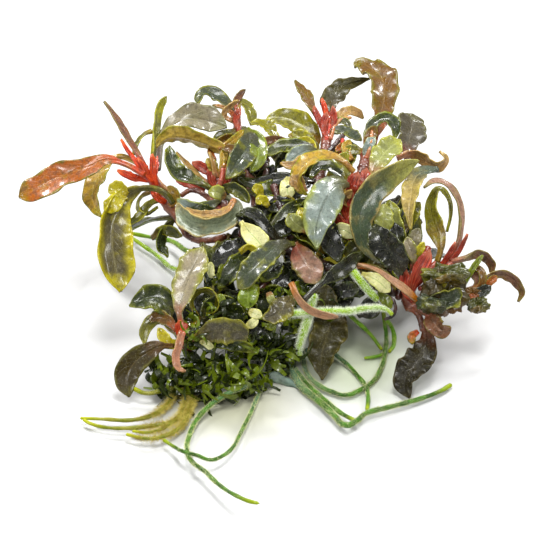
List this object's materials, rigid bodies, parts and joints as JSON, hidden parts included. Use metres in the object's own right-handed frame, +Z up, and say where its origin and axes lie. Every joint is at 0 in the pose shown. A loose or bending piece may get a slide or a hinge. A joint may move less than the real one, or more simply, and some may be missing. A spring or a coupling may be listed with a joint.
{
  "type": "bucephalandra clump",
  "caption": "Loose clump of the water plant bucephalandra: wavy dark leaves on a creeping rhizome, with trailing roots and a tuft of moss.",
  "frame": {"origin": "on the surface the clump rests on, under the middle of its bounding box", "axes": "+X to the right as the clump is seen from the front, +Y to its back, +Z up"},
  "size_m": [0.0998, 0.1112, 0.0336],
  "materials": {
    "green_leaf": "wet, waxy dark green leaf",
    "olive_leaf": "wet, waxy olive leaf",
    "mauve_leaf": "wet, waxy mauve-brown leaf",
    "red_stem": "wet red-brown stem and young leaves",
    "green_root": "smooth root in a thin fuzzy sheath",
    "white_root": "root covered in white root hairs",
    "moss": "soft curly green ribbons"
  },
  "bodies": {
    "root": {"left_leaf_1": "mauve_leaf", "left_leaf_2": "mauve_leaf", "left_leaf_3": "green_leaf", "left_leaf_4": "green_leaf", "left_leaf_5": "olive_leaf", "middle_leaf_1": "olive_leaf", "middle_leaf_2": "green_leaf", "middle_leaf_3": "green_leaf", "middle_leaf_4": "green_leaf", "top_leaf_1": "olive_leaf", "top_leaf_2": "green_leaf", "back_leaf_1": "mauve_leaf", "back_leaf_2": "green_leaf", "back_leaf_3": "olive_leaf", "centre_leaf_1": "olive_leaf", "centre_leaf_2": "green_leaf", "centre_leaf_3": "green_leaf", "centre_leaf_4": "green_leaf", "centre_leaf_5": "green_leaf", "centre_leaf_6": "mauve_leaf", "centre_leaf_7": "mauve_leaf", "right_leaf_1": "green_leaf", "right_leaf_2": "olive_leaf", "right_leaf_3": "mauve_leaf", "right_leaf_4": "mauve_leaf", "right_leaf_5": "green_leaf", "right_leaf_6": "mauve_leaf", "right_leaf_7": "olive_leaf", "right_leaf_8": "green_leaf", "right_leaf_9": "green_leaf", "right_leaf_10": "green_leaf", "front_leaf_1": "mauve_leaf", "front_leaf_2": "green_leaf", "front_leaf_3": "olive_leaf", "front_leaf_4": "green_leaf", "front_leaf_5": "green_leaf", "front_leaf_6": "olive_leaf", "front_leaf_7": "mauve_leaf", "low_leaf_1": "olive_leaf", "low_leaf_2": "green_leaf", "low_leaf_3": "olive_leaf", "low_leaf_4": "green_leaf", "left_stem": "red_stem", "middle_stem": "red_stem", "top_stem": "red_stem", "back_stem": "red_stem", "centre_stem": "red_stem", "right_stem": "red_stem", "low_stem": "red_stem", "rhizome": "red_stem", "front_left_root": "green_root", "long_root": "green_root", "crossing_root": "green_root", "right_root": "green_root", "bowed_root": "green_root", "back_left_root": "green_root", "back_right_root": "green_root", "upper_white_root": "white_root", "lower_white_root": "white_root", "moss": "moss"}
  },
  "joints": []
}
